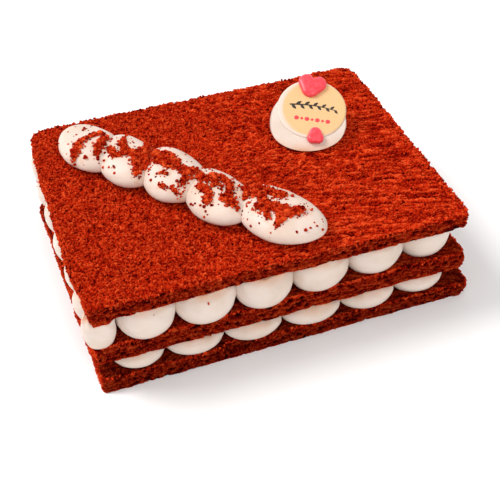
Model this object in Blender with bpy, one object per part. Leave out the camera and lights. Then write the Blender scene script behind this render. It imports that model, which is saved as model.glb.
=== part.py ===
"""Red velvet cake: three thin sponge sheets with two layers of piped cream between them. On top lie
a row of five crumb-dusted cream mounds and one more mound that carries a round plaque and two hearts.

Every shape is worked out in millimetres in the cake's own frame: X along the front edge from the
front left corner, Y towards the back, Z up from the underside. add_solid() turns the numbers into
metres about MIDDLE, so that the finished cake stands centred on the origin.
"""

import math
import random

import bmesh
import bpy
from mathutils import Matrix, Vector, geometry, noise

MM = 0.001
GAP = 0.3  # left free between neighbouring pieces
MIDDLE = Vector((104.2, 74.0, 0.0))  # middle of the footprint

# Heights of the five layers above the underside.
LEVELS = {
    "sponge_bottom": (0.0, 9.0),
    "cream_lower": (9.3, 20.3),
    "sponge_middle": (20.6, 31.7),
    "cream_upper": (32.0, 52.0),
    "sponge_top": (52.3, 61.0),
}

# Sponge sheets: corners at the underside and at the top (front left, front right, back right, back
# left), how round each corner is, and how far the worn top edge is set back.
SHEETS = {
    "sponge_bottom": {
        "low": ((1.6, -1.6), (210.6, -1.3), (207.3, 150.5), (-4.0, 150.0)),
        "high": ((2.4, 0.0), (209.6, -0.6), (207.8, 150.5), (-3.4, 150.0)),
        "radii": (2.5, 3.5, 9.0, 5.0),
        "worn": 0.4,
    },
    "sponge_middle": {
        "low": ((1.5, 0.1), (209.0, 0.6), (206.8, 151.0), (-2.6, 151.0)),
        "high": ((1.6, 0.0), (208.4, 0.3), (206.3, 151.0), (-2.4, 151.0)),
        "radii": (2.5, 5.0, 8.0, 5.0),
        "worn": 1.9,
    },
    "sponge_top": {
        "low": ((1.2, -0.6), (205.4, -0.5), (203.6, 150.8), (0.2, 150.8)),
        "high": ((1.6, 0.1), (205.0, -0.4), (203.6, 151.2), (0.3, 151.4)),
        "radii": (2.0, 4.0, 8.0, 9.0),
        "worn": 0.3,
    },
}
SHEET_STEP = 7.8  # spacing of the points along a sheet's edge
CORNER_STEPS = 3  # steps round a corner
RAGGED = (0.6, 0.4)  # how far the torn edge wanders, over long and over short stretches
RAGGED_SPAN = (17.0, 6.0)
# Side of a sheet from the underside up: share of the height, share of the worn edge, how craggy.
SIDE_RINGS = ((0.0, 0.1, 0.3), (0.2, 0.0, 0.5), (0.5, 0.1, 0.9), (0.8, 0.15, 0.5), (1.0, 1.0, 0.3))
# Bulges of a sheet's side, or hollows where the reach is negative: the side, where along it and half
# its length, the reach, from which to which share of the height, and over what share it fades.
SIDES = {"front": Vector((0, -1)), "right": Vector((1, 0)), "back": Vector((0, 1)), "left": Vector((-1, 0))}
BULGES = {
    "sponge_bottom": (
        {"side": "front", "at": 76.0, "half": 9.0, "reach": -3.0, "shares": (0.45, 1.0), "fade": 0.15},
        {"side": "right", "at": 3.0, "half": 8.5, "reach": 2.2, "shares": (0.5, 1.0), "fade": 0.5},
    ),
    "sponge_middle": (),
    "sponge_top": (
        {"side": "left", "at": 82.0, "half": 66.0, "reach": 2.4, "shares": (0.0, 0.1), "fade": 0.6},
        {"side": "front", "at": 80.0, "half": 32.0, "reach": -1.0, "shares": (0.0, 0.1), "fade": 0.6},
    ),
}
BULGE_RISE = 4.0  # how steeply a bulge rises from its ends
CRUMB_RELIEF = 0.7  # depth of the soft dips in the top face
CRUMB_GRID = 11.5  # spacing of the points that carry them
# A bit that hangs down at the front left of the top sheet; it rises steeply from its ends.
HANGING_BIT = {"x": 6.0, "half_width": 8.0, "drop": 2.4, "rise": 2.2, "inset": 1.0}

# Piped cream balls along the edges of each cream layer. The joints lie between neighbours, and
# each edge value is how far out the ball between two joints reaches.
UPPER_ROWS = {
    "front": {"joints": (15.5, 45.2, 76.9, 107.9, 139.9, 172.4, 201.8),
              "edges": (-3.0, -3.7, -3.8, -2.4, -0.1, 2.3)},
    "left": {"joints": (13.4, 34.0, 57.5, 82.9, 106.5, 128.4),
             "edges": (-2.7, -2.6, -3.7, -3.9, -4.4)},
    "back": {"joints": (13.0, 44.0, 74.5, 106.0, 137.0, 168.5, 199.0),
             "edges": (149.6, 150.6, 149.8, 150.4, 149.4, 148.6)},
    "right": {"joints": (29.0, 53.0, 76.5, 101.0, 125.5),
              "edges": (200.5, 202.0, 201.2, 202.4)},
}
UPPER_CORNERS = ((6.1, 6.0, 8.4, 6.2), (7.0, 139.0, 10.5, 10.6))  # x, y, half width, half depth
LOWER_ROWS = {
    "front": {"joints": (10.3, 38.5, 70.2, 102.5, 136.6, 168.6, 199.6),
              "edges": (-0.7, -2.0, -2.9, -3.2, -2.9, -0.8)},
    "left": {"joints": (26.5, 50.0, 74.5, 98.5, 123.5),
             "edges": (0.8, 1.8, 0.6, 1.4)},
    "back": {"joints": (5.5, 37.0, 69.0, 101.0, 133.5, 166.0, 198.0),
             "edges": (147.6, 149.0, 148.4, 149.2, 148.0, 148.6)},
    "right": {"joints": (26.5, 51.0, 75.5, 100.0, 124.0),
              "edges": (200.8, 199.6, 201.4, 200.2)},
}
BALL_REACH = {"front": 12.0, "back": 12.0, "left": 15.4, "right": 15.4}  # half size across the edge
BALL_OVERLAP = 0.35  # how far a ball grows into its neighbour
BALL_LEVELS = (0.0, 0.12, 0.32, 0.55, 0.8, 1.0)
# Height where a layer's balls are fullest, and their half height before the sheets squash them.
BALL_SWELL = {"cream_lower": (14.0, 8.2), "cream_upper": (42.0, 16.0)}
BALL_SIDES = 16
CORE_EDGES = (11.0, 9.0, 190.0, 141.0)  # solid cream inside the rows of balls
CORE_PROUD = 0.1  # how far the core stands above and below the balls

# Cream mounds in the row: middle, half length, half width, height, heading of the length, how
# three-cornered the outline is, the direction of one corner from the heading, and where the bigger
# clumps of crumbs lie, along and across the mound from its middle.
MOUNDS = (
    {"x": 29.1, "y": 115.3, "long": 21.9, "wide": 15.6, "high": 14.2,
     "heading": -65, "lobe": 0.017, "lobe_at": 48,
     "clumps": ((-8, 3), (-1, 5), (3, 9), (-1, -8), (3, -8), (1, -12), (7, -12), (9, 1), (12, -3))},
    {"x": 46.3, "y": 96.7, "long": 22.6, "wide": 15.9, "high": 14.0,
     "heading": -80, "lobe": 0.031, "lobe_at": 51,
     "clumps": ((-11, 2), (-5, -8), (1, -7), (1, -1), (0, 4), (3, 8), (8, -3), (11, 1), (14, -3))},
    {"x": 65.7, "y": 76.2, "long": 22.6, "wide": 16.8, "high": 14.6,
     "heading": -82, "lobe": 0.055, "lobe_at": 53,
     "clumps": ((-10, -2), (-9, -7), (-4, -2), (0, 1), (2, -4), (7, -2), (6, 4), (8, 8), (15, 0))},
    {"x": 82.8, "y": 51.8, "long": 22.9, "wide": 16.1, "high": 13.4,
     "heading": -78, "lobe": 0.032, "lobe_at": 48,
     "clumps": ((-10, -3), (-6, -8), (-2, -4), (2, -9), (8, -9), (3, 1), (-3, 3), (11, 5), (15, 1))},
    {"x": 108.1, "y": 26.5, "long": 25.6, "wide": 17.2, "high": 14.7,
     "heading": -58, "lobe": 0.063, "lobe_at": 33,
     "clumps": ((-16, -3), (-14, 6), (-9, -3), (-8, 5), (-3, 1), (-2, -8), (2, -2), (4, 2), (9, 5))},
)
MOUND_SIDES = 20
MOUND_ANGLES = (-53, -26, 0, 22, 43, 62, 78)  # latitudes of the rings, the widest at 0
MOUND_TUCK = 0.38  # share of the height below the widest ring
MOUND_FULL = 0.82  # power of the upper profile, 1 for half an ellipsoid, fuller when lower
CLUMPS = {"radius": (1.4, 2.2), "sunk": 0.35, "seed": 21}

# Plaque: a flat mound, a tilted collar squeezed up around the disc, the disc and two hearts.
PLAQUE_MOUND = {"x": 152.4, "y": 96.5, "long": 27.0, "wide": 22.0, "high": 19.0,
                "heading": 65, "lobe": 0.0, "lobe_at": 0, "tuck": 0.29, "full": 0.68}
DISC = {"x": 155.6, "y": 99.0, "z": 74.4, "radius": 19.9, "thick": 2.8, "round": 0.9,
        "tilt": 21.9, "towards": -107.0}
COLLAR = {"radius": 19.4, "half_thick": 5.0, "down": 5.0}
SEAT_DEPTH = 0.9  # the cream around the disc ends this far below the disc's face
DISC_SIDES = 44
# Hearts: middle of the two lobes, how far apart and how round they are, distance and roundness of the
# tip, depth of the cleft, thickness and turn.
HEARTS = {
    "heart_large": {"at": (1.6, 16.8), "apart": 3.1, "lobe": 5.1, "length": 4.6, "tip": 5.1,
                    "cleft": 3.0, "thick": 2.8, "turn": -19.0},
    "heart_small": {"at": (0.5, -20.3), "apart": 1.3, "lobe": 3.4, "length": 3.5, "tip": 3.4,
                    "cleft": 0.7, "thick": 2.4, "turn": 176.0},
}
HEART_SIDES = 26
# Heart from its back to its face: share of the thickness, share of the size.
HEART_RINGS = ((0.0, 0.93), (0.3, 1.0), (0.62, 0.92), (0.88, 0.7), (1.0, 0.36))

SPONGE_COLOUR = (0.42, 0.022, 0.006)
CREAM_COLOUR = (0.86, 0.76, 0.65)
DISC_COLOUR = (0.95, 0.66, 0.30)
HEART_COLOUR = (0.92, 0.06, 0.075)


def make_material(name, colour, roughness):
    material = bpy.data.materials.new(name)
    material.use_nodes = True
    shader = material.node_tree.nodes["Principled BSDF"]
    shader.inputs["Base Color"].default_value = (*colour, 1.0)
    shader.inputs["Roughness"].default_value = roughness
    shader.inputs["Metallic"].default_value = 0.0
    return material


def add_solid(name, points, faces, material):
    """A closed mesh from points in the cake's own millimetres."""
    mesh = bpy.data.meshes.new(name)
    mesh.from_pydata([(Vector(p) - MIDDLE) * MM for p in points], [], faces)
    mesh.materials.append(material)
    work = bmesh.new()
    work.from_mesh(mesh)
    bmesh.ops.recalc_face_normals(work, faces=work.faces)
    bmesh.ops.triangulate(work, faces=work.faces)
    work.to_mesh(mesh)
    work.free()
    solid = bpy.data.objects.new(name, mesh)
    bpy.context.scene.collection.objects.link(solid)
    return solid


def shade(solid, sharp_above=50):
    solid.data.shade_smooth()
    solid.data.set_sharp_from_angle(angle=math.radians(sharp_above))


def combine(target, tools, operation):
    """Unites the tools with the target, or cuts them from it, and removes them."""
    group = bpy.data.collections.new(target.name + "_tools")
    bpy.context.scene.collection.children.link(group)
    for tool in tools:
        bpy.context.scene.collection.objects.unlink(tool)
        group.objects.link(tool)
    change = target.modifiers.new("combine", "BOOLEAN")
    change.operation = operation
    change.operand_type = "COLLECTION"
    change.collection = group
    change.solver = "EXACT"
    with bpy.context.temp_override(object=target, active_object=target):
        bpy.ops.object.modifier_apply(modifier=change.name)
    for tool in tools:
        bpy.data.objects.remove(tool)
    bpy.data.collections.remove(group)


def bridge(rings):
    """Faces between rings of equal length that follow each other in one list of points."""
    count = len(rings[0])
    faces = []
    for level in range(len(rings) - 1):
        for i in range(count):
            here = level * count + i
            beside = level * count + (i + 1) % count
            faces.append((here, beside, beside + count, here + count))
    return faces


def loft(rings):
    """Points and faces of a stack of rings with a flat face at either end."""
    count = len(rings[0])
    points = [p for ring in rings for p in ring]
    last = (len(rings) - 1) * count
    faces = bridge(rings)
    faces.append(tuple(reversed(range(count))))
    faces.append(tuple(range(last, last + count)))
    return points, faces


# ---- sponge sheets


def rounded_outline(corners, radii, counts):
    """Points around a four-cornered sheet: an arc at each corner, even steps along each side."""
    arcs = []
    for i, corner in enumerate(corners):
        corner = Vector(corner)
        arriving = (corner - Vector(corners[i - 1])).normalized()
        leaving = (Vector(corners[(i + 1) % 4]) - corner).normalized()
        turn = arriving.angle(leaving)
        centre = corner + (leaving - arriving).normalized() * radii[i] / math.cos(turn / 2)
        start = math.atan2(-arriving.x, arriving.y)
        angles = [start + turn * k / CORNER_STEPS for k in range(CORNER_STEPS + 1)]
        arcs.append([centre + Vector((math.cos(a), math.sin(a))) * radii[i] for a in angles])
    points = []
    for i, arc in enumerate(arcs):
        points += arc
        next_arc = arcs[(i + 1) % 4]
        points += [arc[-1].lerp(next_arc[0], k / counts[i]) for k in range(1, counts[i])]
    return points


def wander(point, span, seed):
    """A smooth number between -1 and 1 that changes over about the given span."""
    return noise.noise(Vector((point[0] / span, point[1] / span, seed * 7.3)))


def bulge_reach(name, point, out, share):
    """How far the bulges of a sheet push its side out at a point."""
    reach = 0.0
    for bulge in BULGES[name]:
        along = point.x if bulge["side"] in ("front", "back") else point.y
        rise = min(1.0, BULGE_RISE * max(0.0, 1 - abs(along - bulge["at"]) / bulge["half"]))
        first, last = bulge["shares"]
        beyond = max(first - share, share - last, 0.0)
        facing = max(0.0, out.dot(SIDES[bulge["side"]]))
        reach += bulge["reach"] * rise * max(0.0, 1 - beyond / bulge["fade"]) * facing
    return reach


def sponge_sheet(name, seed, material):
    low, high = LEVELS[name]
    plan = SHEETS[name]
    corners = [Vector(corner) for corner in plan["low"]]
    sides = zip(corners, corners[1:] + corners[:1])
    counts = [round((end - start).length / SHEET_STEP) for start, end in sides]
    under = rounded_outline(plan["low"], plan["radii"], counts)
    upper = rounded_outline(plan["high"], plan["radii"], counts)
    outward = []
    for k in range(len(under)):
        along = under[(k + 1) % len(under)] - under[k - 1]
        outward.append(Vector((along.y, -along.x)).normalized())
    hanging = name == "sponge_top"
    rings = []
    for level, (share, worn, crag) in enumerate(SIDE_RINGS):
        ring = []
        for p, q, out in zip(under, upper, outward):
            shift = sum(a * wander(p, s, seed) for a, s in zip(RAGGED, RAGGED_SPAN))
            shift += crag * wander(p, RAGGED_SPAN[1], seed + 10 + level) - worn * plan["worn"]
            shift += bulge_reach(name, p, out, share)
            z = low + (high - low) * share
            if hanging and share == 0.0 and out.y < -0.9:
                rise = HANGING_BIT["rise"] * (1 - abs(p.x - HANGING_BIT["x"]) / HANGING_BIT["half_width"])
                z -= HANGING_BIT["drop"] * min(1.0, max(0.0, rise))
            place = p.lerp(q, share) + out * shift
            ring.append((place.x, place.y, z))
        rings.append(ring)
    if hanging:
        inner = [Vector(q[:2]) - out * HANGING_BIT["inset"] for q, out in zip(rings[0], outward)]
        rings.insert(0, [(q.x, q.y, low) for q in inner])
    count = len(under)
    mesh_points = [p for ring in rings for p in ring]
    faces = bridge(rings)
    faces.append(tuple(reversed(range(count))))
    if hanging:
        mesh_points, top_faces = relief_top(mesh_points, count, high, seed)
        faces += top_faces
    else:
        faces.append(tuple(range(len(mesh_points) - count, len(mesh_points))))
    solid = add_solid(name, mesh_points, faces, material)
    shade(solid, 35)
    return solid


def relief_top(points, count, high, seed):
    """Closes the last ring with a face of small dips, triangulated over a grid of inner points."""
    first = len(points) - count
    rim = [Vector(p[:2]) for p in points[first:]]
    x_low, x_high = min(p.x for p in rim), max(p.x for p in rim)
    y_low, y_high = min(p.y for p in rim), max(p.y for p in rim)
    columns = round((x_high - x_low) / CRUMB_GRID)
    rows = round((y_high - y_low) / CRUMB_GRID)
    inner = []
    for i in range(1, columns):
        for k in range(1, rows):
            stagger = 0.25 if k % 2 else -0.25
            x = x_low + (x_high - x_low) * (i + stagger) / columns
            y = y_low + (y_high - y_low) * k / rows
            if min((p - Vector((x, y))).length for p in rim) > CRUMB_GRID / 2:
                inner.append(Vector((x, y)))
    edges = [(i, (i + 1) % count) for i in range(count)]
    found = geometry.delaunay_2d_cdt(rim + inner, edges, [], 1, 1e-4)
    where = {}
    points = list(points)
    for i, (flat, sources) in enumerate(zip(found[0], found[3])):
        source = sources[0]
        if source < count:
            where[i] = first + source
        else:
            dip = CRUMB_RELIEF * (0.5 + 0.5 * wander(flat, CRUMB_GRID, seed + 30))
            where[i] = len(points)
            points.append((flat.x, flat.y, high - dip))
    return points, [tuple(where[i] for i in face) for face in found[2]]


# ---- piped cream layers


def cream_ball(ball, low, high, swell, draw, material):
    """A ball squashed flat at two heights, given its middle, half sizes and swell."""
    x, y, half_x, half_y = ball
    fullest, half_height = swell
    lean_x, lean_y = draw.uniform(-0.5, 0.5), draw.uniform(-0.5, 0.5)
    twist = draw.uniform(0.0, 2 * math.pi / BALL_SIDES)
    rings = []
    for share in BALL_LEVELS:
        z = low + (high - low) * share
        width = math.sqrt(1 - ((z - fullest) / half_height) ** 2)
        ring = []
        for i in range(BALL_SIDES):
            angle = twist + 2 * math.pi * i / BALL_SIDES
            ring.append((
                x + lean_x * (share - 0.5) + half_x * width * math.cos(angle),
                y + lean_y * (share - 0.5) + half_y * width * math.sin(angle),
                z,
            ))
        rings.append(ring)
    return add_solid("ball", *loft(rings), material)


def balls_of(rows, corners):
    """Middle and half sizes of every ball in the four rows."""
    balls = list(corners)
    for side, row in rows.items():
        reach = BALL_REACH[side]
        inward = 1 if side in ("front", "left") else -1
        for start, end, edge in zip(row["joints"], row["joints"][1:], row["edges"]):
            along = (start + end) / 2
            half = (end - start) / 2 + BALL_OVERLAP
            across = edge + inward * reach
            if side in ("front", "back"):
                balls.append((along, across, half, reach))
            else:
                balls.append((across, along, reach, half))
    return balls


def cream_layer(name, rows, corners, seed, material):
    low, high = LEVELS[name]
    draw = random.Random(seed)
    x_low, y_low, x_high, y_high = CORE_EDGES
    plan = ((x_low, y_low), (x_high, y_low), (x_high, y_high), (x_low, y_high))
    rings = [[(x, y, z) for x, y in plan] for z in (low, high)]
    layer = add_solid(name, *loft(rings), material)
    ball_low, ball_high = low + CORE_PROUD, high - CORE_PROUD
    swell = BALL_SWELL[name]
    balls = [
        cream_ball(ball, ball_low, ball_high, swell, draw, material) for ball in balls_of(rows, corners)
    ]
    combine(layer, balls, "UNION")
    shade(layer)
    return layer


# ---- cream mounds and their crumbs


def mound_point(mound, across, latitude, base, grow=0.0):
    """A point on a mound's skin, given the direction across it and the latitude, in degrees."""
    long, wide = mound["long"] + grow, mound["wide"] + grow
    tuck = mound["high"] * mound.get("tuck", MOUND_TUCK)
    above = mound["high"] - tuck + grow
    below = tuck * 1.25
    angle, tip = math.radians(across), math.radians(latitude)
    width = 1 + mound["lobe"] * math.cos(3 * (angle - math.radians(mound["lobe_at"])))
    width *= math.cos(tip) ** (mound.get("full", MOUND_FULL) if latitude > 0 else 1.0)
    u, v = long * width * math.cos(angle), wide * width * math.sin(angle)
    heading = math.radians(mound["heading"])
    return Vector((
        mound["x"] + u * math.cos(heading) - v * math.sin(heading),
        mound["y"] + u * math.sin(heading) + v * math.cos(heading),
        base + tuck + math.sin(tip) * (above if latitude > 0 else below),
    ))


def mound_solid(name, mound, base, material, grow=0.0):
    rings = []
    for latitude in MOUND_ANGLES:
        step = 360 / MOUND_SIDES
        rings.append([mound_point(mound, i * step, latitude, base, grow) for i in range(MOUND_SIDES)])
    if grow:
        rings[0] = [Vector((p.x, p.y, p.z - grow)) for p in rings[0]]
    return add_solid(name, *loft(rings), material)


def inside_mound(point, mound, base, clear):
    """True where a point lies within a mound, or nearer to it than the clearance."""
    clear += mound["lobe"] * mound["long"]
    heading = math.radians(-mound["heading"])
    away = Vector((point.x - mound["x"], point.y - mound["y"]))
    u = away.x * math.cos(heading) - away.y * math.sin(heading)
    v = away.x * math.sin(heading) + away.y * math.cos(heading)
    w = point.z - base - mound["high"] * MOUND_TUCK
    tall = mound["high"] * (1 - MOUND_TUCK) + clear
    across = math.hypot(u / (mound["long"] + clear), v / (mound["wide"] + clear))
    return across ** (2 / MOUND_FULL) + (w / tall) ** 2 < 1


def crumb_clump(centre, radius, draw, material):
    """One knobbly clump of crumbs: a twenty-sided ball with uneven corners."""
    work = bmesh.new()
    bmesh.ops.create_icosphere(work, subdivisions=1, radius=1.0)
    turn = Matrix.Rotation(draw.uniform(0, math.tau), 3, (draw.random(), draw.random(), 1.0))
    points = [centre + turn @ v.co * radius * draw.uniform(0.78, 1.15) for v in work.verts]
    faces = [tuple(v.index for v in face.verts) for face in work.faces]
    work.free()
    return add_solid("clump", points, faces, material)


def clumps_on(mound, others, base, draw, material):
    """Clumps of crumbs on a mound's skin, where they are clear of the other mounds."""
    clumps = []
    for along, across in mound["clumps"]:
        u, v = along / mound["long"], across / mound["wide"]
        latitude = math.degrees(math.acos(math.hypot(u, v)))
        centre = mound_point(mound, math.degrees(math.atan2(v, u)), latitude, base)
        radius = draw.uniform(*CLUMPS["radius"])
        if any(inside_mound(centre, other, base, 1.3 * radius + 2 * GAP) for other in others):
            continue
        inward = Vector((mound["x"], mound["y"], base)) - centre
        centre = centre + inward.normalized() * radius * CLUMPS["sunk"]
        clumps.append(crumb_clump(centre, radius, draw, material))
    return clumps


def cream_mounds(material):
    base = LEVELS["sponge_top"][1] + GAP
    draw = random.Random(CLUMPS["seed"])
    mounds = []
    for number, mound in enumerate(MOUNDS, 1):
        solid = mound_solid(f"dollop_{number}", mound, base, material)
        later = MOUNDS[number:]
        if later:
            cutter = mound_solid("cutter", later[0], base, material, grow=GAP)
            combine(solid, [cutter], "DIFFERENCE")
        others = [other for other in MOUNDS if other is not mound]
        combine(solid, clumps_on(mound, others, base, draw, material), "UNION")
        shade(solid)
        mounds.append(solid)
    return mounds


# ---- plaque


def disc_frame():
    """Moves points from the tilted disc's own plane to the cake's frame."""
    tilt, towards = math.radians(DISC["tilt"]), math.radians(DISC["towards"])
    up = Vector((math.sin(tilt) * math.cos(towards), math.sin(tilt) * math.sin(towards), math.cos(tilt)))
    across = Vector((0, 0, 1)).cross(up).normalized()
    slope = up.cross(across)
    frame = Matrix((across, slope, up)).transposed().to_4x4()
    return Matrix.Translation((DISC["x"], DISC["y"], DISC["z"])) @ frame


def disc_solid(name, frame, material, grow=0.0):
    radius, top = DISC["radius"] + grow, grow
    bottom, curve = -DISC["thick"] - grow, DISC["round"]
    profile = ((bottom, radius - curve), (bottom + curve, radius), (top - curve, radius),
               (top, radius - curve))
    rings = []
    for z, r in profile:
        angles = [math.tau * i / DISC_SIDES for i in range(DISC_SIDES)]
        rings.append([frame @ Vector((r * math.cos(a), r * math.sin(a), z)) for a in angles])
    return add_solid(name, *loft(rings), material)


def heart_outline(heart, size, grow):
    """A heart, tip down: two round lobes drawn out to a round tip, with a cleft between the lobes."""
    apart, lobe, length = heart["apart"], heart["lobe"], heart["length"]
    circles = ((-apart, 0.0, lobe), (apart, 0.0, lobe), (0.0, -length, heart["tip"]))
    outline = [Vector((0.0, lobe - heart["cleft"] + grow))]
    for i in range(HEART_SIDES):
        angle = math.pi / 2 - math.tau * (i + 0.5) / HEART_SIDES
        out = Vector((math.cos(angle), math.sin(angle)))
        x, y, radius = max(circles, key=lambda circle: Vector(circle[:2]).dot(out) + circle[2])
        outline.append(Vector((x, y)) + out * (radius + grow))
    middle = Vector((0.0, -length / 2))
    turn = Matrix.Rotation(math.radians(heart["turn"]), 2)
    return [turn @ (middle + (p - middle) * size) + Vector(heart["at"]) for p in outline]


def heart_solid(name, heart, frame, material, grow=0.0):
    rings = []
    for share, size in HEART_RINGS:
        z = GAP + heart["thick"] * share + (2 * share - 1) * grow
        outline = heart_outline(heart, size, grow)
        rings.append([frame @ Vector((p.x, p.y, z)) for p in outline])
    return add_solid(name, *loft(rings), material)


def plaque(cream, disc_material, heart_material):
    base = LEVELS["sponge_top"][1] + GAP
    frame = disc_frame()
    mound = mound_solid("plaque_cream", PLAQUE_MOUND, base, cream)
    collar_rings = []
    for latitude in (-70, -45, -20, 0, 20, 45, 70):
        tip = math.radians(latitude)
        r = COLLAR["radius"] * math.cos(tip)
        z = COLLAR["half_thick"] * math.sin(tip) - COLLAR["down"]
        angles = [math.tau * i / MOUND_SIDES for i in range(MOUND_SIDES)]
        collar_rings.append([frame @ Vector((r * math.cos(a), r * math.sin(a), z)) for a in angles])
    combine(mound, [add_solid("collar", *loft(collar_rings), cream)], "UNION")
    reach = 2 * DISC["radius"]
    square = ((-reach, -reach), (reach, -reach), (reach, reach), (-reach, reach))
    above = [[frame @ Vector((x, y, z)) for x, y in square] for z in (-SEAT_DEPTH, reach)]
    combine(mound, [add_solid("cutter", *loft(above), cream)], "DIFFERENCE")
    cutters = [disc_solid("cutter", frame, cream, grow=GAP)]
    cutters += [heart_solid("cutter", heart, frame, cream, grow=GAP) for heart in HEARTS.values()]
    combine(mound, cutters, "DIFFERENCE")
    shade(mound)
    disc = disc_solid("plaque_disc", frame, disc_material)
    shade(disc, 30)
    hearts = [heart_solid(name, heart, frame, heart_material) for name, heart in HEARTS.items()]
    for heart in hearts:
        shade(heart, 60)
    return [mound, disc, *hearts]


def build_cake():
    for old in list(bpy.data.objects):
        bpy.data.objects.remove(old)
    sponge = make_material("red_sponge", SPONGE_COLOUR, 0.95)
    cream = make_material("whipped_cream", CREAM_COLOUR, 0.45)
    disc = make_material("cream_yellow_icing", DISC_COLOUR, 0.4)
    heart = make_material("pink_fondant", HEART_COLOUR, 0.35)
    for seed, name in enumerate(SHEETS, 1):
        sponge_sheet(name, seed, sponge)
    cream_layer("cream_lower", LOWER_ROWS, (), 11, cream)
    cream_layer("cream_upper", UPPER_ROWS, UPPER_CORNERS, 12, cream)
    cream_mounds(cream)
    plaque(cream, disc, heart)


build_cake()
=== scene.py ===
# Red velvet cake: crumbly red sponge sheets, piped cream between them, a row of crumb-dusted cream
# mounds and a round icing plaque with two hearts. Lengths are in millimetres in the cake's own frame,
# X along the front edge, Y towards the back, Z up; toScene turns them into the frame's metres.
import math
import random

import bmesh
import bpy
import numpy as np
from mathutils import Matrix, Vector, noise


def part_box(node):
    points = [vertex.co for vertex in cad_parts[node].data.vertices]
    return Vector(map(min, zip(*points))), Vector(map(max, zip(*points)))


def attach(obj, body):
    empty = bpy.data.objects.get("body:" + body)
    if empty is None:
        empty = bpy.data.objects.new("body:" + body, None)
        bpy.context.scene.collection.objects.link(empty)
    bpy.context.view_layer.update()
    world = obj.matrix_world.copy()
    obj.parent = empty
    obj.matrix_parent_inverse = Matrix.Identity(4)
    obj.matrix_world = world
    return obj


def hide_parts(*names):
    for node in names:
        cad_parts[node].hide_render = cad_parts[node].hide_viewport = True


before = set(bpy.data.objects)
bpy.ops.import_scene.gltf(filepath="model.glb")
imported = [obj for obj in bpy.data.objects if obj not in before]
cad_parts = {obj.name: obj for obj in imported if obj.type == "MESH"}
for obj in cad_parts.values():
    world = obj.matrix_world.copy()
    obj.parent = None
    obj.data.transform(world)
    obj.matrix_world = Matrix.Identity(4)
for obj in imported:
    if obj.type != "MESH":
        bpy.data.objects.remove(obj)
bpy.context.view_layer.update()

scene = bpy.context.scene
noise.seed_set(1)  # or noise_vector would differ from run to run
mm = 0.001
cakeMiddle = np.array((104.2, 74.0, 0.0))
gap = 0.3  # between neighbouring solids of the frame
print("frame loaded:", len(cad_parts), "nodes")


def toScene(points):
    return (np.asarray(points, float) - cakeMiddle) * mm


def nodeLevels(node):
    low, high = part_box(node)
    return low.z / mm, high.z / mm


def place(piece, nodes=()):
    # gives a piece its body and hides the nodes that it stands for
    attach(piece, "root")
    if nodes:
        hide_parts(*nodes)


def newPiece(name, points, faces, material, smooth=True):
    mesh = bpy.data.meshes.new(name)
    mesh.from_pydata(toScene(points).tolist(), [], faces)
    mesh.materials.append(material)
    if smooth:
        mesh.shade_smooth()
    piece = bpy.data.objects.new(name, mesh)
    scene.collection.objects.link(piece)
    return piece


def setAttribute(piece, name, values):
    layer = piece.data.attributes.new(name, "FLOAT", "POINT")
    layer.data.foreach_set("value", np.asarray(values, np.float32))


def closedLoft(rings):
    # quads between rings of equal length, a flat face at either end
    count = len(rings[0])
    faces = []
    for level in range(len(rings) - 1):
        for i in range(count):
            here, beside = level * count + i, level * count + (i + 1) % count
            faces.append((here, beside, beside + count, here + count))
    last = (len(rings) - 1) * count
    faces.append(tuple(reversed(range(count))))
    faces.append(tuple(range(last, last + count)))
    return np.concatenate(rings), faces


def combine(target, tools, operation):
    # one Boolean for all the tools, which are then removed
    group = bpy.data.collections.new(target.name + "Tools")
    scene.collection.children.link(group)
    for tool in tools:
        scene.collection.objects.unlink(tool)
        group.objects.link(tool)
    change = target.modifiers.new("combine", "BOOLEAN")
    change.operation = operation
    change.operand_type = "COLLECTION"
    change.collection = group
    change.solver = "MANIFOLD"
    with bpy.context.temp_override(object=target, active_object=target):
        bpy.ops.object.modifier_apply(modifier=change.name)
    for tool in tools:
        bpy.data.objects.remove(tool)
    bpy.data.collections.remove(group)


def linear(hexColour):
    parts = [int(hexColour[i:i + 2], 16) / 255 for i in (1, 3, 5)]
    return (*[c / 12.92 if c <= 0.04045 else ((c + 0.055) / 1.055) ** 2.4 for c in parts], 1.0)


def addNode(tree, kind, settings=None, inputs=None, links=None):
    # settings are the node's own, inputs are socket values, links are socket: (node, output)
    node = tree.nodes.new("ShaderNode" + kind)
    for name, value in (settings or {}).items():
        setattr(node, name, value)
    for socket, value in (inputs or {}).items():
        node.inputs[socket].default_value = value
    for socket, (source, output) in (links or {}).items():
        tree.links.new(source.outputs[output], node.inputs[socket])
    return node


def newMaterial(name):
    material = bpy.data.materials.new(name)
    material.use_nodes = True
    tree = material.node_tree
    return material, tree, tree.nodes["Principled BSDF"]


def setStops(ramp, stops):
    elements = ramp.color_ramp.elements
    while len(elements) < len(stops):
        elements.new(0.5)
    for element, (position, colour) in zip(elements, stops):
        element.position = position
        element.color = linear(colour)


def perMetre(size):
    # a texture's scale for a pattern of this size in millimetres
    return 1000 / size


noiseSpan = {1: 0.3, 2: 0.7}  # Map Range sockets: a noise hardly leaves this stretch of 0 to 1

# Red velvet sponge: an open, dry, baked crumb with almost no gloss. Its colour follows the height of the
# grain, as painted shade in the pores and cracks and a painted highlight on the grain tips. Cut faces that
# look to the front carry painted shade and are darker than the brushed top.
sponge = {
    "stops": ((0.0, "#360100"), (0.25, "#7b0703"), (0.52, "#bc2808"), (1.0, "#ec5d2b")),
    "grain": 0.75, "grainShare": 0.18, "cell": 1.2, "cellShare": 0.13, "cellSpan": {1: 0.1, 2: 0.75},
    "cloud": 15.0, "cloudShade": 0.1,
    "bump": 0.4, "bumpStrength": 0.9, "roughness": 1.0, "specular": 0.02,
}


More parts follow.
